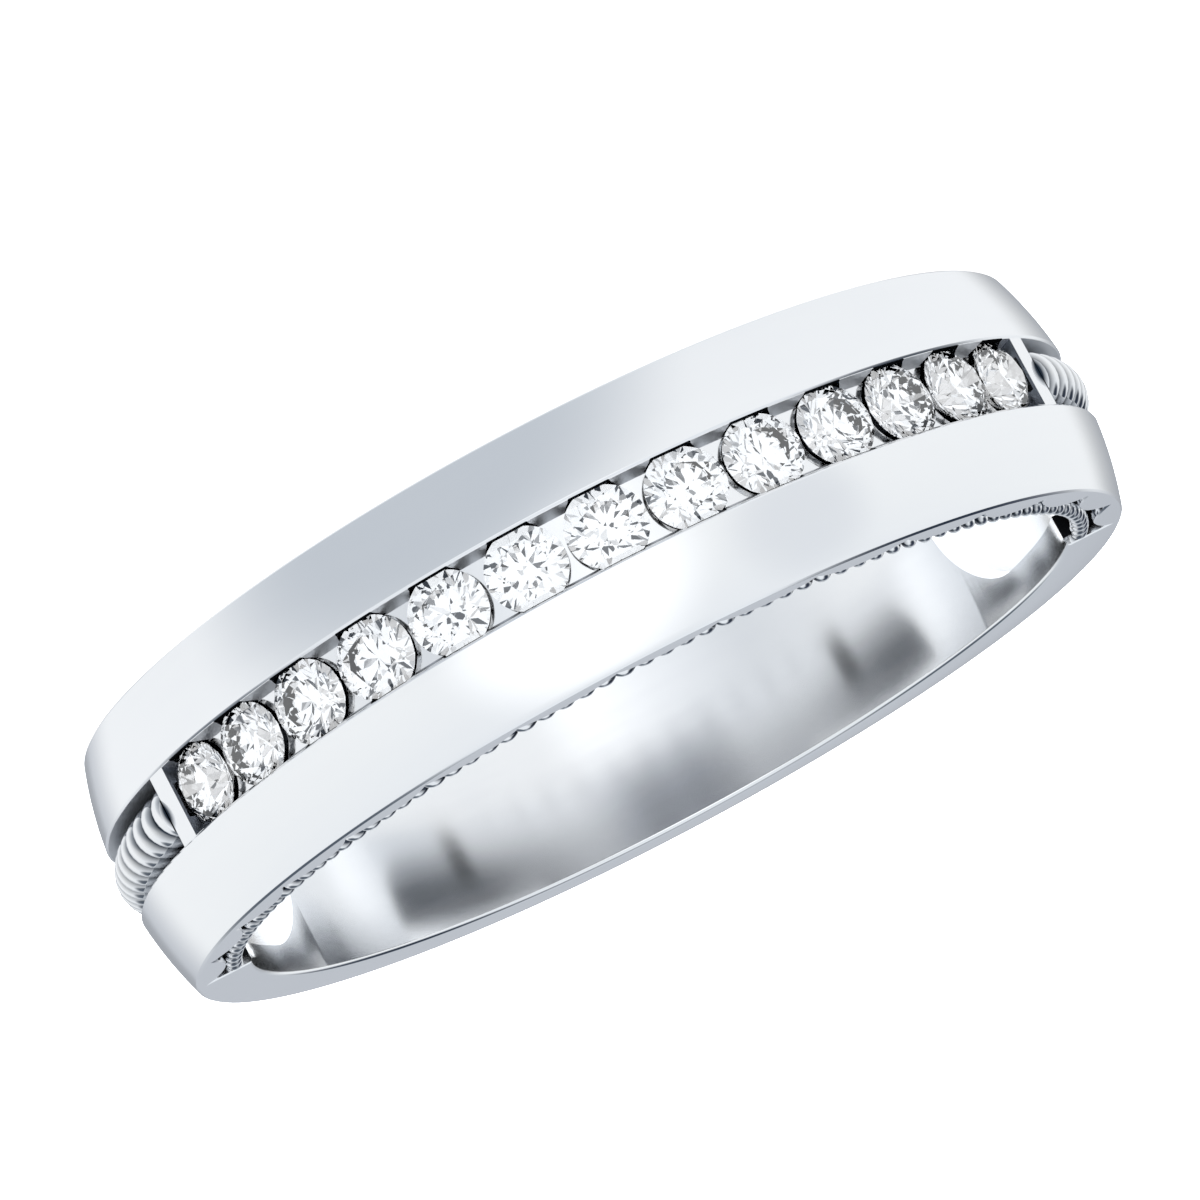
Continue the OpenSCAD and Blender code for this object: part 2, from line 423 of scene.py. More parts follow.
def paint_hollow_shade(material, shader, tint, shade_colour):
    """Paints shade on a metal, deepening in from both side faces, more so towards the shoulders, the -X
    one most.
    """
    nodes, links = material.node_tree.nodes, material.node_tree.links
    place = place_on_piece(nodes, links)
    height = math_node(nodes, links, "SUBTRACT", place["Z"], MID_Z * MILLIMETRE)
    off_middle = math_node(nodes, links, "ABSOLUTE", height)
    inward = share_between(nodes, links, off_middle, MID_Z - 0.35, MID_Z - 1.5)
    skewed = math_node(nodes, links, "MULTIPLY", place["X"], -0.2)
    off_head = math_node(nodes, links, "ADD", place["Y"], skewed)
    outward = share_between(nodes, links, off_head, -7.0, -0.4, 0.5)
    share = math_node(nodes, links, "MULTIPLY", inward, outward)
    links.new(mixed(nodes, links, share, tint, shade_colour), shader.inputs["Base Color"])


def paint_groove_shade(material, shader, tint, ring_r, off_middle, groove_r, crown_r, shade_colour):
    """Paints shade on a wound wire, darker from its crowns down into its grooves, by the distance from
    its core.
    """
    nodes, links = material.node_tree.nodes, material.node_tree.links
    place = place_on_piece(nodes, links)
    from_axis = hypotenuse(nodes, links, place["X"], place["Y"])
    out = math_node(nodes, links, "SUBTRACT", from_axis, ring_r * MILLIMETRE)
    height = math_node(nodes, links, "SUBTRACT", place["Z"], MID_Z * MILLIMETRE)
    either_side = math_node(nodes, links, "ABSOLUTE", height)
    along = math_node(nodes, links, "SUBTRACT", either_side, off_middle * MILLIMETRE)
    from_core = hypotenuse(nodes, links, out, along)
    sunk = share_between(nodes, links, from_core, crown_r, groove_r)
    links.new(mixed(nodes, links, sunk, tint, shade_colour), shader.inputs["Base Color"])


def glow_through_stones(material, shader, strength):
    """Lets a dark pit shine only as the stones refract it, so that they stay bright over it."""
    nodes, links = material.node_tree.nodes, material.node_tree.links
    ray = nodes.new("ShaderNodeLightPath")
    glow = math_node(nodes, links, "MULTIPLY", ray.outputs["Is Transmission Ray"], strength)
    links.new(glow, shader.inputs["Emission Strength"])
    shader.inputs["Emission Color"].default_value = (1.0, 1.0, 1.0, 1)


def make_golds():
    """All the white golds of the ring, by name."""
    polish = polish_group()
    rows = (
        # name, colour, worn colour, roughness, worn roughness, how fine the marks are, relief
        ("polished", (0.95, 0.96, 0.97), (0.92, 0.93, 0.95), 0.11, 0.17, 400.0, 0.03),
        # Satin walls, their colour darkened as painted shade
        ("satin", (0.66, 0.68, 0.71), (0.56, 0.58, 0.61), 0.42, 0.50, 900.0, 0.1),
        # Painted shade on the ends of the head's channel
        ("slate", (0.20, 0.22, 0.26), (0.15, 0.17, 0.20), 0.42, 0.50, 900.0, 0.1),
        # Painted shade deepens this one in the hollows
        ("cast", (0.94, 0.95, 0.97), (0.86, 0.88, 0.91), 0.12, 0.20, 900.0, 0.3),
        ("wire", (0.94, 0.95, 0.96), (0.88, 0.89, 0.91), 0.05, 0.10, 900.0, 0.03),
        ("rope", (0.95, 0.96, 0.97), (0.90, 0.91, 0.93), 0.05, 0.10, 900.0, 0.03),
        # Painted light: this one glows a little
        ("bright", (0.97, 0.98, 0.99), (0.95, 0.96, 0.97), 0.11, 0.17, 400.0, 0.03),
        ("shaded", (0.02, 0.022, 0.025), (0.01, 0.011, 0.013), 0.40, 0.55, 900.0, 0.1),
    )
    made = {row[0]: metal(*row, polish) for row in rows}
    # Painted shade in the head's hollows and the low relief
    paint_hollow_shade(*made["cast"], (0.08, 0.088, 0.1))
    # Painted shade on each wire: darkest from about half of its grooves' depth on
    paint_groove_shade(
        *made["wire"], COIL_R, 0.0,
        COIL_TUBE_R - 0.55 * COIL_GROOVE, COIL_TUBE_R - 0.08 * COIL_GROOVE, (0.02, 0.03, 0.045)
    )
    paint_groove_shade(
        *made["rope"], ROPE_R, MID_Z - ROPE_TUBE_R,
        ROPE_TUBE_R - 0.5 * ROPE_GROOVE, ROPE_TUBE_R - 0.1 * ROPE_GROOVE, (0.04, 0.05, 0.07)
    )
    _, glow_shader, _ = made["bright"]
    # A painted glow on the upper relief
    glow_shader.inputs["Emission Color"].default_value = (1.0, 1.0, 1.0, 1)
    glow_shader.inputs["Emission Strength"].default_value = 0.35
    shaded, shaded_shader, _ = made["shaded"]
    shaded_shader.inputs["Specular Tint"].default_value = (0.1, 0.1, 0.1, 1)
    glow_through_stones(shaded, shaded_shader, 0.75)
    return {name: material for name, (material, _, _) in made.items()}


def brilliant_material():
    """Clear colourless stone with the faintest tint drifting through it."""
    material, shader = new_material("clear_stone")
    nodes, links = material.node_tree.nodes, material.node_tree.links
    place = nodes.new("ShaderNodeTexCoord")
    drift = nodes.new("ShaderNodeTexNoise")
    drift.inputs["Scale"].default_value = 700.0
    links.new(place.outputs["Object"], drift.inputs["Vector"])
    tint = mixed(nodes, links, drift.outputs["Fac"], (1.0, 1.0, 1.0), (0.95, 0.97, 1.0))
    links.new(tint, shader.inputs["Base Color"])
    shader.inputs["Roughness"].default_value = 0.0
    shader.inputs["IOR"].default_value = 2.417
    shader.inputs["Transmission Weight"].default_value = 1.0
    return material


def floor_material():
    """Plain white paper, with the faintest mottling."""
    material, shader = new_material("white_floor")
    nodes, links = material.node_tree.nodes, material.node_tree.links
    place = nodes.new("ShaderNodeTexCoord")
    mottle = nodes.new("ShaderNodeTexNoise")
    mottle.inputs["Scale"].default_value = 40.0
    links.new(place.outputs["Object"], mottle.inputs["Vector"])
    tint = mixed(nodes, links, mottle.outputs["Fac"], (0.97, 0.97, 0.97), (1.0, 1.0, 1.0))
    links.new(tint, shader.inputs["Base Color"])
    links.new(tint, shader.inputs["Emission Color"])
    # Lit from below as a light table is, so that hardly any shadow is left on it
    shader.inputs["Emission Strength"].default_value = 1.0
    shader.inputs["Roughness"].default_value = 0.9
    shader.inputs["Specular IOR Level"].default_value = 0.0
    return material


# The band

def rounded_corner(before, corner, after, radius, steps):
    """Points of the arc that rounds a corner of an outline."""
    corner = Vector(corner)
    to_before = (Vector(before) - corner).normalized()
    to_after = (Vector(after) - corner).normalized()
    half = to_before.angle(to_after) / 2
    middle = corner + (to_before + to_after).normalized() * (radius / math.sin(half))
    first = corner + to_before * (radius / math.tan(half)) - middle
    last = corner + to_after * (radius / math.tan(half)) - middle
    return [middle + radius * first.slerp(last, i / steps) for i in range(steps + 1)]


def dome_circle():
    """Centre radius and radius of the one circle that both rails' domes lie on."""
    rise = EDGE_R - RIM_R
    drop = ((MID_Z**2 - HALF_CHANNEL**2) / rise + rise) / 2
    return EDGE_R - drop, math.hypot(drop, HALF_CHANNEL)


def dome_point(height):
    centre, radius = dome_circle()
    return centre + math.sqrt(radius**2 - (height - MID_Z) ** 2), height


def half_section():
    """The lower half of the band's section, from the finger hole to the bottom of the shallow slot."""
    inner_edge = rounded_corner((FINGER_R, MID_Z), (FINGER_R, 0), (RIM_R, 0), INNER_FILLET, 6)
    bevel_low = (RIM_R - OUTER_BEVEL, 0)
    bevel_high = dome_point(OUTER_BEVEL)
    lip_z = MID_Z - HALF_CHANNEL
    chamfer_high = dome_point(lip_z - LIP_CHAMFER)
    chamfer_low = (EDGE_R - LIP_CHAMFER, lip_z)
    low_round = rounded_corner((FINGER_R, 0), bevel_low, bevel_high, BEVEL_ROUND, 3)
    high_round = rounded_corner(bevel_low, bevel_high, dome_point(3 * OUTER_BEVEL), BEVEL_ROUND, 3)
    before_lip = dome_point(lip_z - 3 * LIP_CHAMFER)
    lip_round = rounded_corner(before_lip, chamfer_high, chamfer_low, LIP_ROUND, 2)
    dome_steps = 16
    first_z = high_round[-1][1]
    last_z = lip_z - 1.5 * LIP_CHAMFER
    dome = [dome_point(first_z + (last_z - first_z) * i / dome_steps) for i in range(1, dome_steps + 1)]
    points = inner_edge + low_round + high_round + dome + lip_round + [chamfer_low, (BAR_TOP_R, lip_z)]
    return [(p[0], p[1]) for p in points]


def band_section():
    lower = half_section()
    upper = [(r, BAND_W - z) for r, z in reversed(lower)]
    return lower + upper


def half_width(radius):
    """Half of the width between the leaning walls of the head's channel, at that radius."""
    step = 0.01
    return HALF_CHANNEL - step - (WALL_LEAN - step) * (BAR_TOP_R - radius) / (BAR_TOP_R - PLATE_R)


def leaning(r0, half0, r1, half1):
    """A section that is half0 wide each way at radius r0, and half1 at r1."""
    return [(r0, MID_Z - half0), (r1, MID_Z - half1), (r1, MID_Z + half1), (r0, MID_Z + half0)]


def painted_channel(name, section, start, end, floor, wall, stop):
    """A channel cutter with one metal for the floor, one for the walls and one for both ends."""
    tool = painted(ring_arc(name, section, start, end), floor)
    tool.data.materials.append(wall)
    tool.data.materials.append(stop)
    for face in tool.data.polygons:
        outward = Vector((face.center.x, face.center.y, 0)).normalized()
        if abs(face.normal.z) > 0.5:
            face.material_index = 1
        elif abs(face.normal.dot(outward)) < 0.5:
            face.material_index = 2
    return tool


def cut_channels(band, gold):
    """Deepens the slot over the head and round the back, and leaves the end bars between."""
    above = BAR_TOP_R + 0.02
    section = leaning(PLATE_R, half_width(PLATE_R), above, half_width(above))
    # Painted shade: the walls and ends of the head's channel are darker
    head_golds = gold["polished"], gold["satin"], gold["slate"]
    head = painted_channel("head_channel", section, -BAR_START, BAR_START, *head_golds)
    combine(band, head)
    close = 0.002
    section = rectangle(COIL_BED_R, above, MID_Z - HALF_CHANNEL + close, MID_Z + HALF_CHANNEL - close)
    # Painted shade on the bed under the coil, and on its walls
    back_golds = gold["shaded"], gold["satin"], gold["polished"]
    back = painted_channel("coil_channel", section, BAR_END, 360 - BAR_END, *back_golds)
    combine(band, back)


def stone_angle(number):
    return (number - (STONE_COUNT + 1) / 2) * STONE_STEP


def seat_cutter(number):
    """The room one stone and its pit take: a wide cylinder, and a cone that narrows below it."""
    low = PLATE_R + 0.015
    pit_r = PIT_R + (low - PLATE_R) * (PIT_R - PIT_TIP_R) / (PLATE_R - PIT_FLOOR_R)
    tool = radial_cylinder("seat", stone_angle(number), SEAT_R, low, SEAT_TOP_R)
    outward = at_angle(1, 0, stone_angle(number))
    edit(tool)
    bpy.ops.mesh.select_all(action="DESELECT")
    bpy.ops.object.mode_set(mode="OBJECT")
    for face in tool.data.polygons:
        face.select = face.normal.dot(outward) < -0.9
    bpy.ops.object.mode_set(mode="EDIT")
    bpy.ops.mesh.inset(thickness=SEAT_R - pit_r, depth=0)
    bpy.ops.mesh.extrude_region_move(TRANSFORM_OT_translate={"value": outward * (PIT_FLOOR_R - low)})
    pit_floor = at_angle(PIT_FLOOR_R, MID_Z, stone_angle(number))
    bpy.ops.transform.resize(value=(PIT_TIP_R / pit_r,) * 3, center_override=pit_floor)
    close_edit()
    return tool


def shade_cutter(number):
    """A skin's depth of both walls above one seat, painted dark as shade over each stone."""
    low = SEAT_TOP_R - 0.015
    high = EDGE_R - LIP_CHAMFER - 0.001
    angle = stone_angle(number)
    section = leaning(low, half_width(low) + SHADE_SKIN, high, HALF_CHANNEL + SHADE_SKIN)
    tool = ring_arc("shade", section, angle - SHADE_HALF_ARC, angle + SHADE_HALF_ARC)
    clear_selection()
    bpy.ops.mesh.primitive_cone_add(
        vertices=96,
        radius1=SHADE_LOW_R,
        radius2=SHADE_HIGH_R,
        depth=SHADE_DEPTH,
        location=at_angle(SHADE_MID_R, MID_Z, angle),
        rotation=(math.pi / 2, 0, -math.radians(angle)),
    )
    cone = bpy.context.object
    bpy.ops.object.transform_apply(location=True, rotation=True, scale=True)
    combine(tool, cone, "INTERSECT")
    return tool


def cut_seats(band, dark):
    """A round seat for each stone, over a pit in the floor, and the skin above it; all are painted dark
    as shade. Neighbours meet, so every other one.
    """
    for first in (1, 2):
        for cutter in (shade_cutter, seat_cutter):
            tools = [cutter(number) for number in range(first, STONE_COUNT + 1, 2)]
            combine(band, painted(joined(tools), dark))


def hollow_head(band, cast, dark):
    """Grooves on both sides of the channel and a lower rib between them, with painted shade deeper in,
    near black where they show.
    """
    inside = FINGER_R - 1.5
    z0 = MID_Z - RIB_HALF
    z1 = MID_Z + RIB_HALF
    end = GALLERY_HALF + 0.02
    overlap = 0.05
    grooves = (
        (PLATE_T, z0, -DARK_GROOVE_START, DARK_GROOVE_START, cast),
        (PLATE_T, z0, -end, overlap - DARK_GROOVE_START, dark),
        (PLATE_T, z0, DARK_GROOVE_START - overlap, end, dark),
        (z1, BAND_W - PLATE_T, -end, end, dark),
    )
    for low, high, begin, finish, tone in grooves:
        groove = ring_arc("groove", rectangle(inside, HOLLOW_R, low, high), begin, finish, 0.93)
        combine(band, painted(groove, tone))
    overlap = 0.01
    under = rectangle(inside, RIB_R, z0 - overlap, z1 + overlap)
    combine(band, painted(ring_arc("under_rib", under, -RIB_STEP_HALF, RIB_STEP_HALF), cast))


def relief_cutter(name, low, high):
    """The shallow relief inside between two heights, with a round end in each shoulder."""
    inside = FINGER_R - 1.5
    reach = POCKET_END + 14
    relief = ring_arc(name, rectangle(inside, POCKET_R, low, high), -reach, reach)
    for side in (-1, 1):
        spare = 0.5
        corners = rectangle(inside - spare, POCKET_R + spare, low - spare, high + spare)
        begin, end = sorted((side * (POCKET_END + 0.3), side * (reach + 2)))
        beyond = ring_arc("beyond_round_end", corners, begin, end)
        combine(beyond, radial_cylinder("round_end", side * POCKET_END, POCKET_HALF, 7, EDGE_R))
        combine(relief, beyond)
    return relief


def cut_pockets(band, bright, cast):
    """The relief from shoulder to shoulder: with a painted glow where it shows, and painted shade low
    down.
    """
    low, high = MID_Z - POCKET_HALF, MID_Z + POCKET_HALF
    overlap = 0.01
    combine(band, painted(relief_cutter("relief_high", RELIEF_SHADE_TOP_Z, high), bright))
    combine(band, painted(relief_cutter("relief_low", low, RELIEF_SHADE_TOP_Z + overlap), cast))


def scallop_points():
    """Points of the scalloped edge, from one end of the gallery to the other."""
    cusp_x = SCALLOP_CUSP_R * math.sin(math.radians(SCALLOP_STEP / 2))
    cusp_rise = SCALLOP_CUSP_R * math.cos(math.radians(SCALLOP_STEP / 2)) - SCALLOP_TIP_R
    lobe_r = (cusp_x**2 + cusp_rise**2) / (2 * cusp_rise)
    sweep = math.asin(cusp_x / lobe_r)
    steps = 14
    points = []
    for lobe in range(SCALLOP_COUNT):
        turn = (lobe - (SCALLOP_COUNT - 1) / 2) * SCALLOP_STEP
        for i in range(steps):
            a = sweep * (2 * i / steps - 1)
            along = lobe_r * math.sin(a)
            out = SCALLOP_TIP_R + lobe_r * (1 - math.cos(a))
            radius = math.hypot(along, out)
            points.append((radius, turn + math.degrees(math.atan2(along, out))))
    points.append((SCALLOP_CUSP_R, GALLERY_HALF))
    return points


def cut_galleries(band, polished):
    """Pierces both side plates along the scalloped edge, with a fine chamfer outside."""
    for outer, way in ((BAND_W, 1), (0, -1)):
        inner = outer - way * (PLATE_T + 0.1)
        tool = outline("gallery", [at_angle(r, inner, a) for r, a in scallop_points()])
        rise = PLATE_T + 0.1 - GALLERY_CHAMFER
        bpy.ops.mesh.extrude_region_move(TRANSFORM_OT_translate={"value": (0, 0, way * rise)})
        flare = 1 + GALLERY_CHAMFER / SCALLOP_TIP_R
        corner = (0, GALLERY_CHAMFER, way * GALLERY_CHAMFER)
        bpy.ops.mesh.extrude_region_move(TRANSFORM_OT_translate={"value": corner})
        bpy.ops.transform.resize(value=(flare, flare, 1), center_override=(0, 0, 0))
        bpy.ops.mesh.extrude_region_move(TRANSFORM_OT_translate={"value": (0, 0, way * 0.2)})
        close_edit()
        combine(band, painted(tool, polished))


def make_band(gold):
    # Its facets start at an odd angle, so that none of the cutters' edges falls on theirs
    odd = 0.37
    band = painted(ring_arc("band_casting", band_section(), odd, odd + 360), gold["polished"])
    cut_channels(band, gold)
    hollow_head(band, gold["cast"], gold["shaded"])
    cut_pockets(band, gold["bright"], gold["cast"])
    cut_galleries(band, gold["polished"])
    tidy_mesh(band)
    cut_seats(band, gold["shaded"])
    tidy_mesh(band)
    to_metres(band)
    smooth(band, 25)
    weigh_normals(band)
    finish_piece(band, "root", "polished_metal", "band")
    return band


# Stones

def facet(place, outward):
    """Grinds one flat facet: takes off what lies outside the plane and closes the cut."""
    bpy.ops.mesh.select_all(action="SELECT")
    bpy.ops.mesh.bisect(plane_co=place, plane_no=outward, use_fill=True, clear_outer=True)


def plane_through(a, b, c):
    """A point and the outward normal of the plane through three points of a stone."""
    normal = (b - a).cross(c - a).normalized()
    return a, normal if normal.dot(a) > 0 else -normal


def cut_brilliant(name):
    """A round brilliant cut from a cylinder facet by facet, its table up and its girdle at Z = 0."""
    r = STONE_R
    half_girdle = 0.022 * r
    table_r = 0.57 * r
    table_z = half_girdle + 0.30 * r
    star_r = 0.76 * r
    culet_z = -half_girdle - 0.86 * r
    lower_r = 0.24 * r
    quarter = math.cos(math.radians(22.5))
    star_z = table_z - (star_r * quarter - table_r) * (table_z - half_girdle) / (r - table_r)
    lower_z = culet_z - lower_r * quarter * (culet_z + half_girdle) / r

    def point(radius, height, angle):
        a = math.radians(angle)
        return Vector((radius * math.cos(a), radius * math.sin(a), height))

    clear_selection()
    bpy.ops.mesh.primitive_cylinder_add(vertices=128, radius=r, depth=2.2 * r)
    stone = bpy.context.object
    stone.name = name
    edit(stone)
    facet((0, 0, table_z), (0, 0, 1))
    for i in range(8):
        a = 45 * i
        kite_top = point(table_r, table_z, a)
        left_star = point(star_r, star_z, a - 22.5)
        right_star = point(star_r, star_z, a + 22.5)
        facet(*plane_through(kite_top, left_star, right_star))
        facet(*plane_through(kite_top, point(table_r, table_z, a + 45), right_star))
        main_end = point(r, -half_girdle, a)
        left_low = point(lower_r, lower_z, a - 22.5)
        right_low = point(lower_r, lower_z, a + 22.5)
        facet(*plane_through(main_end, left_low, right_low))
        for side in (-22.5, 22.5):
            star = point(star_r, star_z, a + side)
            facet(*plane_through(star, point(r, half_girdle, a), point(r, half_girdle, a + side)))
            low = point(lower_r, lower_z, a + side)
            facet(*plane_through(low, point(r, -half_girdle, a), point(r, -half_girdle, a + side)))
    bpy.ops.mesh.select_all(action="SELECT")
    bpy.ops.mesh.remove_doubles(threshold=0.002)
    bpy.ops.mesh.dissolve_degenerate(threshold=0.001)
    close_edit()
    return stone


def make_stones(clear):
    first = painted(cut_brilliant("brilliant"), clear)
    for number in range(1, STONE_COUNT + 1):
        stone = first.copy()
        stone.data = first.data.copy()
        stone.name = f"brilliant_{number:02d}"
        bpy.context.scene.collection.objects.link(stone)
        angle = stone_angle(number)
        turn = Matrix.Rotation(-math.radians(angle), 4, "Z") @ Matrix.Rotation(math.pi / 2, 4, "X")
        stone.matrix_world = Matrix.Translation(at_angle(GIRDLE_R, MID_Z, angle)) @ turn
        select_only(stone)
        bpy.ops.object.transform_apply(location=True, rotation=True, scale=True)
        to_metres(stone)
        finish_piece(stone, "root", "stone_glass", f"stone_{number:02d}")
    bpy.data.objects.remove(first)


# Wires

def turn_profile(tube_r, groove, pitch):
    """Outline of the round hump that one turn adds along the wire: (radius, length) points."""
    steps = 10
    whole_drop = 1 - math.sqrt(1 - TURN_REACH**2)
    points = []
    for i in range(steps):
        off_crown = TURN_REACH * abs(2 * i / steps - 1)
        sunk = groove * (1 - math.sqrt(1 - off_crown**2)) / whole_drop
        points.append((tube_r - sunk, pitch * (i / steps)))
    points.append((tube_r - groove, pitch))
    return points


def wound_wire(name, ring_r, tube_r, groove, sweep, turns, sides):
    """A closely wound wire, bent to a circle; its middle is on the head's side of the ring."""
    length = math.radians(sweep) * ring_r
    pitch = length / turns
    spare = 4
    rows = turns + spare
    points = [(r, 0, z - pitch * rows / 2) for r, z in turn_profile(tube_r, groove, pitch)]
    wire = polyline(name, points)
    settle_at_origin()
    screw = wire.modifiers.new("wind", "SCREW")
    screw.axis = "Z"
    screw.angle = math.radians(360)
    screw.screw_offset = pitch
    screw.steps = sides
    screw.render_steps = sides
    screw.iterations = rows
    bpy.ops.object.modifier_apply(modifier=screw.name)
    edit(wire)
    bpy.ops.mesh.remove_doubles(threshold=0.0001)
    for way_out in (-1, 1):
        bpy.ops.mesh.select_all(action="SELECT")
        place = (0, 0, way_out * length / 2)
        bpy.ops.mesh.bisect(plane_co=place, plane_no=(0, 0, way_out), use_fill=True, clear_outer=True)
    close_edit()
    wire.rotation_euler = (0, math.pi / 2, 0)
    bpy.ops.object.transform_apply(location=True, rotation=True, scale=True)
    bend = wire.modifiers.new("bend", "SIMPLE_DEFORM")
    bend.deform_method = "BEND"
    bend.deform_axis = "Z"
    bend.angle = math.radians(sweep)
    bpy.ops.object.modifier_apply(modifier=bend.name)
    return wire


def make_wires(coil_gold, rope_gold):
    coil_sweep = 360 - 2 * BAR_END - 2 * math.degrees(WIRE_PLAY / COIL_R)
    coil = wound_wire(
        "channel_winding", COIL_R, COIL_TUBE_R, COIL_GROOVE, coil_sweep, COIL_TURNS, COIL_SIDES
    )
    place_wire(coil, COIL_R, MID_Z, math.pi)
    pieces = [(coil, "channel_coil", coil_gold)]
    rope_sweep = 2 * GALLERY_HALF - 2 * math.degrees(WIRE_PLAY / ROPE_R)
    for where, height in (("front", BAND_W - ROPE_TUBE_R), ("back", ROPE_TUBE_R)):
        rope = wound_wire(
            f"rope_{where}", ROPE_R, ROPE_TUBE_R, ROPE_GROOVE, rope_sweep, ROPE_TURNS, ROPE_SIDES
        )
        place_wire(rope, ROPE_R, height, 0)
        # The photograph's inner wall doesn't mirror the rope on the hidden side
        rope.visible_glossy = where == "front"
        pieces.append((rope, f"gallery_rope_{where}", rope_gold))
    for wire, node, gold in pieces:
        painted(wire, gold)
        to_metres(wire)
        smooth(wire, 35)
        finish_piece(wire, "root", "wire_metal", node)


def place_wire(wire, ring_r, height, turn):
    """Moves a bent wire onto the ring's axis and turns it round the axis."""
    wire.location = Matrix.Rotation(turn, 3, "Z") @ Vector((0, -ring_r, height))
    wire.rotation_euler = (0, 0, turn)
    bpy.ops.object.transform_apply(location=True, rotation=True, scale=True)


# Studio

def camera():
    """The photograph's camera: above the floor, turned well over about its own line of sight."""
    azimuth = math.radians(CAMERA_AZIMUTH)
    elevation = math.radians(CAMERA_ELEVATION)
    roll = math.radians(CAMERA_ROLL)
    back = Vector((
        math.sin(azimuth) * math.cos(elevation),
        -math.cos(azimuth) * math.cos(elevation),
        math.sin(elevation),
    ))
    level_right = Vector((math.cos(azimuth), math.sin(azimuth), 0))
    level_up = back.cross(level_right)
    right = math.cos(roll) * level_right + math.sin(roll) * level_up
    up = -math.sin(roll) * level_right + math.cos(roll) * level_up
    eye = back * CAMERA_DISTANCE + right * CAMERA_SIDEWAYS[0] + up * CAMERA_SIDEWAYS[1]
    data = bpy.data.cameras.new("photo_camera")
    data.lens = CAMERA_LENS
    data.sensor_width = CAMERA_SENSOR
    data.clip_start = 0.001
    data.clip_end = 20
    shot = bpy.data.objects.new("photo_camera", data)
    turned = Matrix((right, up, back)).transposed().to_4x4()
    shot.matrix_world = Matrix.Translation(eye * MILLIMETRE) @ turned
    bpy.context.scene.collection.objects.link(shot)
    bpy.context.scene.camera = shot


def direction(azimuth, elevation):
    """Unit vector to a place in the studio, its azimuth measured as the angles round the head are."""
    e = math.radians(elevation)
    return at_angle(math.cos(e), math.sin(e), azimuth)


def studio_world():
    """A white studio as the metal mirrors it: a smooth sweep of light with a few soft patches."""
    world = bpy.data.worlds.new("white_studio")
    bpy.context.scene.world = world
    world.use_nodes = True
    nodes, links = world.node_tree.nodes, world.node_tree.links
    nodes.clear()
    output = nodes.new("ShaderNodeOutputWorld")
    background = nodes.new("ShaderNodeBackground")
    links.new(background.outputs["Background"], output.inputs["Surface"])
    toward = nodes.new("ShaderNodeTexCoord").outputs["Generated"]
    split = nodes.new("ShaderNodeSeparateXYZ")
    links.new(toward, split.inputs["Vector"])
    height = nodes.new("ShaderNodeMapRange")
    height.inputs["From Min"].default_value = -1.0
    links.new(split.outputs["Z"], height.inputs["Value"])
    sweep = nodes.new("ShaderNodeValToRGB")
    sweep.color_ramp.interpolation = "B_SPLINE"
    tones = (
        # elevation in degrees, red, green, blue
        (-90, 0.77, 0.80, 0.83),
        (-60, 0.85, 0.88, 0.91),
        (-40, 0.90, 0.92, 0.94),
        (-15, 0.93, 0.95, 0.97),
        (5, 0.91, 0.93, 0.94),
        (22, 0.85, 0.88, 0.91),
        (45, 0.79, 0.82, 0.86),
        (90, 0.84, 0.88, 0.92),
    )
    stops = sweep.color_ramp.elements
    while len(stops) < len(tones):
        stops.new(0.5)
    for stop, (elevation, *colour) in zip(stops, tones):
        stop.position = (math.sin(math.radians(elevation)) + 1) / 2
        stop.color = (*colour, 1)
    links.new(height.outputs["Result"], sweep.inputs["Fac"])
    light = sweep.outputs["Color"]
    patches = (
        # azimuth, elevation, angle at the middle, angle at the rim, share, colour it blends towards
        (-8, 2, 9, 34, 0.9, (1.26, 1.28, 1.30)),
        (44, 8, 5, 20, 0.8, (0.73, 0.76, 0.80)),
        (-32, -50, 20, 55, 1.0, (0.56, 0.60, 0.65)),
        (180, 0, 14, 42, 0.9, (0.48, 0.51, 0.56)),
        (180, 46, 12, 36, 0.97, (0.55, 0.59, 0.63)),
        (148, 44, 8, 28, 0.97, (0.04, 0.05, 0.08)),
        (114, 46, 6, 26, 0.98, (0.02, 0.03, 0.05)),
        (-150, 46, 8, 28, 0.95, (0.07, 0.09, 0.12)),
        (-122, 48, 5, 24, 0.95, (0.09, 0.11, 0.14)),
        (158, -8, 8, 24, 0.27, (0.0, 0.0, 0.0)),
        (-172, -8, 3, 13, 0.3, (0.0, 0.0, 0.0)),
    )
    for azimuth, elevation, inner, outer, amount, colour in patches:
        facing = nodes.new("ShaderNodeVectorMath")
        facing.operation = "DOT_PRODUCT"
        facing.inputs[1].default_value = direction(azimuth, elevation)
        links.new(toward, facing.inputs[0])
        share = nodes.new("ShaderNodeMapRange")
        share.interpolation_type = "SMOOTHSTEP"
        share.inputs["From Min"].default_value = math.cos(math.radians(outer))
        share.inputs["From Max"].default_value = math.cos(math.radians(inner))
        share.inputs["To Max"].default_value = amount
        links.new(facing.outputs["Value"], share.inputs["Value"])
        light = mixed(nodes, links, share.outputs["Result"], light, colour)
    links.new(stone_light(nodes, links, toward, light), background.inputs["Color"])


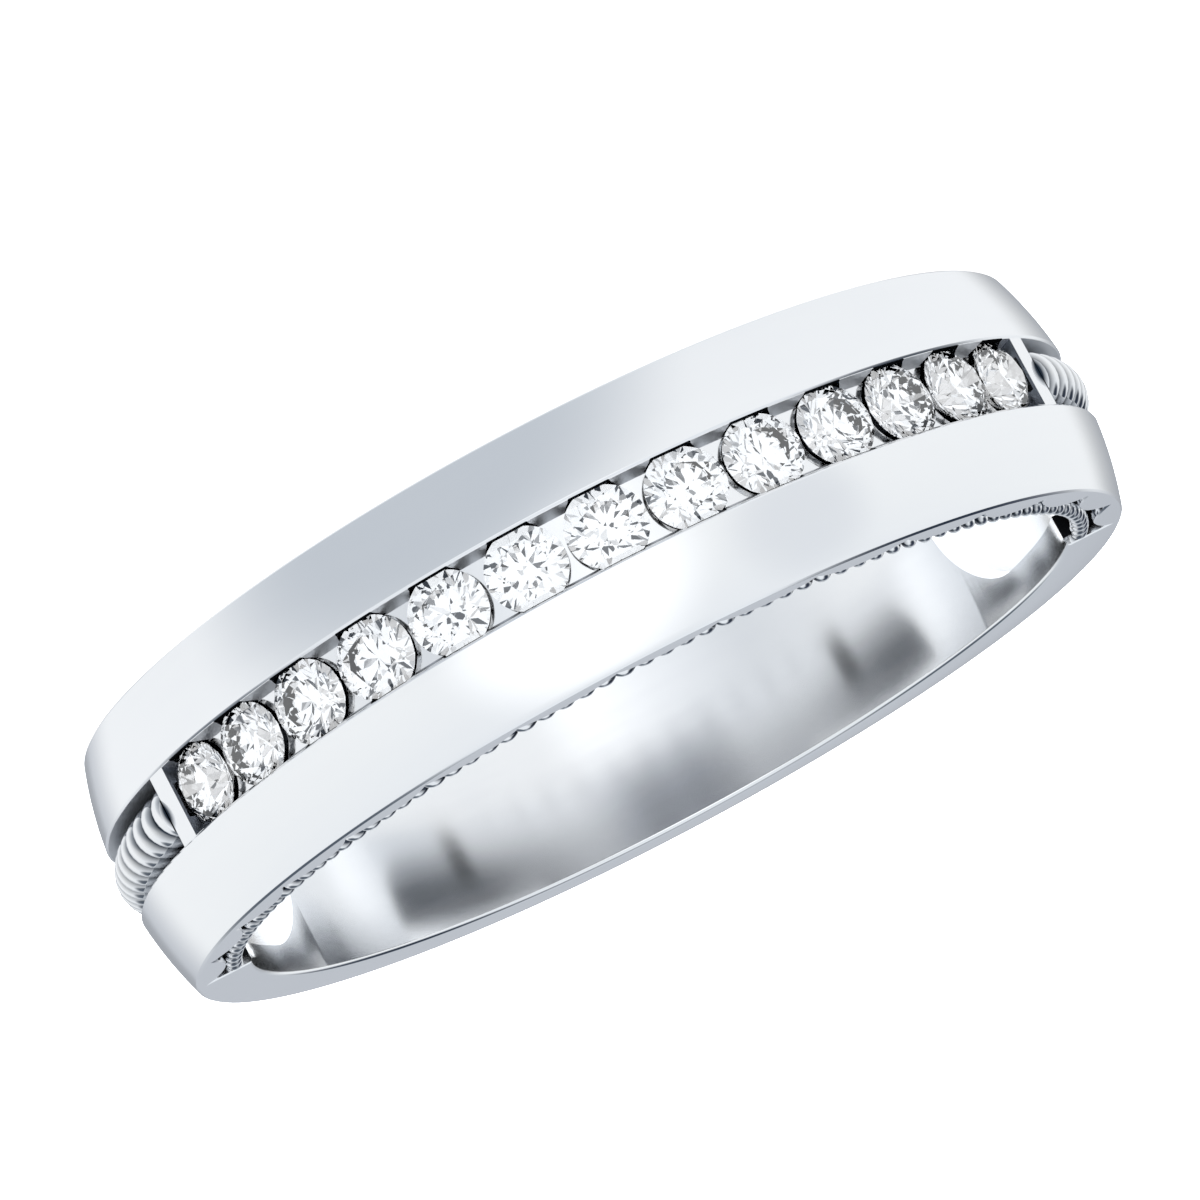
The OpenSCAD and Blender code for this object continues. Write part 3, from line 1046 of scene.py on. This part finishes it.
def stone_light(nodes, links, toward, light):
    """The studio as the stones see it: bright cards with dark gaps between, fewer gaps to the sides."""
    cards = nodes.new("ShaderNodeTexNoise")
    cards.inputs["Scale"].default_value = 4.5
    cards.inputs["Detail"].default_value = 0.0
    links.new(toward, cards.inputs["Vector"])
    split = nodes.new("ShaderNodeSeparateXYZ")
    links.new(toward, split.inputs["Vector"])
    aside = math_node(nodes, links, "MULTIPLY", split.outputs["X"], split.outputs["X"])
    fewer = math_node(nodes, links, "MULTIPLY", aside, 0.25)
    gaps = nodes.new("ShaderNodeValToRGB")
    gaps.color_ramp.elements[0].position = 0.38
    gaps.color_ramp.elements[0].color = (0.06, 0.07, 0.085, 1)
    gaps.color_ramp.elements[1].position = 0.45
    gaps.color_ramp.elements[1].color = (1.3, 1.33, 1.36, 1)
    links.new(math_node(nodes, links, "ADD", cards.outputs["Fac"], fewer), gaps.inputs["Fac"])
    through_stone = nodes.new("ShaderNodeLightPath").outputs["Is Transmission Ray"]
    return mixed(nodes, links, through_stone, light, gaps.outputs["Color"])


def floor_light():
    """A soft overhead lamp for the floor; the metal mirrors the studio and not this lamp."""
    data = bpy.data.lights.new("overhead", "AREA")
    data.shape = "SQUARE"
    data.size = 1.2
    data.energy = 14.0
    lamp = bpy.data.objects.new("overhead", data)
    lamp.location = (0, 0, 0.6)
    lamp.visible_glossy = False
    lamp.visible_transmission = False
    lamp.visible_camera = False
    bpy.context.scene.collection.objects.link(lamp)


def make_floor():
    clear_selection()
    bpy.ops.mesh.primitive_plane_add(size=6, location=(0, 0, 0))
    floor = bpy.context.object
    floor.name = "studio_floor"
    painted(floor, floor_material())
    # The photograph's metal and stones mirror the studio alone, with no floor in it
    floor.visible_glossy = False
    floor.visible_transmission = False


camera()
gold = make_golds()
make_band(gold)
make_stones(brilliant_material())
make_wires(gold["wire"], gold["rope"])
make_floor()
studio_world()
floor_light()

scene = bpy.context.scene
scene.view_settings.view_transform = "Standard"
scene.cycles.max_bounces = 24
scene.cycles.glossy_bounces = 4
scene.cycles.transmission_bounces = 20
scene.cycles.caustics_reflective = False
scene.cycles.caustics_refractive = False
